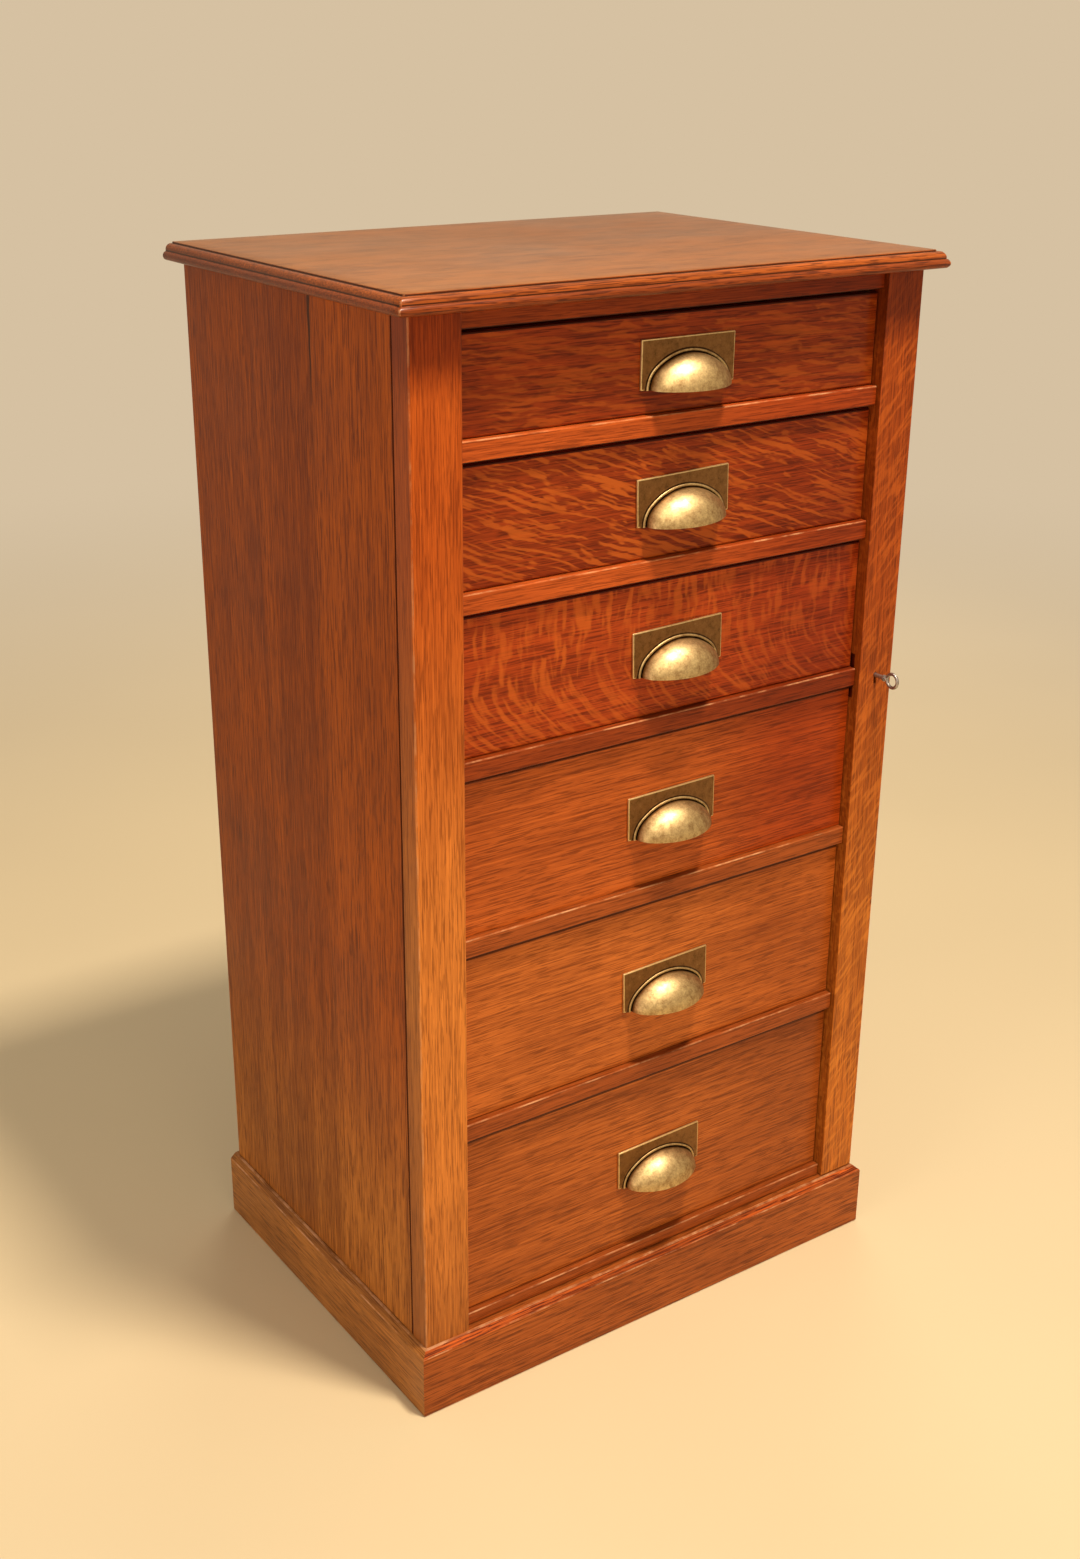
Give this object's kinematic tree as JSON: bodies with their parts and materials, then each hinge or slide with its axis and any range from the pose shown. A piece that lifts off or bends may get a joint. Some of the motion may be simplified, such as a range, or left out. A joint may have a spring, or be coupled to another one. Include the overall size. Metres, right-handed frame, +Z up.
{
  "type": "wellington chest",
  "caption": "Tall narrow oak chest of graduated drawers with brass cup pulls, a moulded top, a plinth and a hinged locking flap with its key down one side.",
  "frame": {"origin": "on the floor, under the middle of the box that holds the whole chest with its key", "axes": "+X to the chest's right as seen from the front, +Y to its back, +Z up"},
  "size_m": [0.563, 0.4192, 1.016],
  "materials": {
    "polished_oak": "satin polish",
    "figured_oak": "satin polish",
    "drawer_lining": "planed, unpolished",
    "pine": "sawn and planed, bare",
    "antique_brass": "worn patina",
    "steel": "dull, handled"
  },
  "bodies": {
    "carcase": {"top_board": "polished_oak", "left_side": "polished_oak", "right_side": "polished_oak", "left_stile": "polished_oak", "hinge_post": "pine", "top_rail": "polished_oak", "rail_1": "polished_oak", "rail_2": "polished_oak", "rail_3": "polished_oak", "rail_4": "polished_oak", "rail_5": "polished_oak", "bottom_rail": "polished_oak", "bottom_board": "pine", "back_boards": "pine", "plinth_front": "polished_oak", "plinth_left": "polished_oak", "plinth_right": "polished_oak", "plinth_back": "pine", "plinth_blocks": "pine", "drawer_runners": "pine", "drawer_stops": "pine", "hinge_leaves_fixed": "antique_brass", "hinge_pins": "antique_brass", "hinge_screws_fixed": "antique_brass"},
    "flap": {"flap": "polished_oak", "hinge_leaves_flap": "antique_brass", "hinge_screws_flap": "antique_brass", "lock_case": "steel"},
    "lock_bolt": {"lock_bolt": "steel"},
    "key": {"key": "steel"},
    "drawer_1": {"drawer_1_front": "figured_oak", "drawer_1_sides": "drawer_lining", "drawer_1_back": "drawer_lining", "drawer_1_bottom": "drawer_lining", "drawer_1_pull": "antique_brass"},
    "drawer_2": {"drawer_2_front": "figured_oak", "drawer_2_sides": "drawer_lining", "drawer_2_back": "drawer_lining", "drawer_2_bottom": "drawer_lining", "drawer_2_pull": "antique_brass"},
    "drawer_3": {"drawer_3_front": "figured_oak", "drawer_3_sides": "drawer_lining", "drawer_3_back": "drawer_lining", "drawer_3_bottom": "drawer_lining", "drawer_3_pull": "antique_brass"},
    "drawer_4": {"drawer_4_front": "figured_oak", "drawer_4_sides": "drawer_lining", "drawer_4_back": "drawer_lining", "drawer_4_bottom": "drawer_lining", "drawer_4_pull": "antique_brass"},
    "drawer_5": {"drawer_5_front": "figured_oak", "drawer_5_sides": "drawer_lining", "drawer_5_back": "drawer_lining", "drawer_5_bottom": "drawer_lining", "drawer_5_pull": "antique_brass"},
    "drawer_6": {"drawer_6_front": "figured_oak", "drawer_6_sides": "drawer_lining", "drawer_6_back": "drawer_lining", "drawer_6_bottom": "drawer_lining", "drawer_6_pull": "antique_brass"}
  },
  "joints": [
    {"name": "flap_hinge", "type": "hinge", "parent": "carcase", "child": "flap", "pos_m": [0.2682, -0.1546, 0.535], "axis": [0, 0, 1], "range_deg": [0, 180]},
    {"name": "key_turn", "type": "hinge", "parent": "flap", "child": "key", "pos_m": [0.2445, -0.17885, 0.626], "axis": [0, 1, 0], "range_deg": [0, 180]},
    {"name": "bolt_throw", "type": "slide", "parent": "flap", "child": "lock_bolt", "axis": [-1, 0, 0], "range_m": [0, 0.006]},
    {"name": "drawer_1_slide", "type": "slide", "parent": "carcase", "child": "drawer_1", "axis": [0, -1, 0], "range_m": [0, 0.25]},
    {"name": "drawer_2_slide", "type": "slide", "parent": "carcase", "child": "drawer_2", "axis": [0, -1, 0], "range_m": [0, 0.25]},
    {"name": "drawer_3_slide", "type": "slide", "parent": "carcase", "child": "drawer_3", "axis": [0, -1, 0], "range_m": [0, 0.25]},
    {"name": "drawer_4_slide", "type": "slide", "parent": "carcase", "child": "drawer_4", "axis": [0, -1, 0], "range_m": [0, 0.25]},
    {"name": "drawer_5_slide", "type": "slide", "parent": "carcase", "child": "drawer_5", "axis": [0, -1, 0], "range_m": [0, 0.25]},
    {"name": "drawer_6_slide", "type": "slide", "parent": "carcase", "child": "drawer_6", "axis": [0, -1, 0], "range_m": [0, 0.25]}
  ],
  "couplings": [
    {"joint": "key_turn", "follows": "bolt_throw", "rad_per_m": 523}
  ]
}
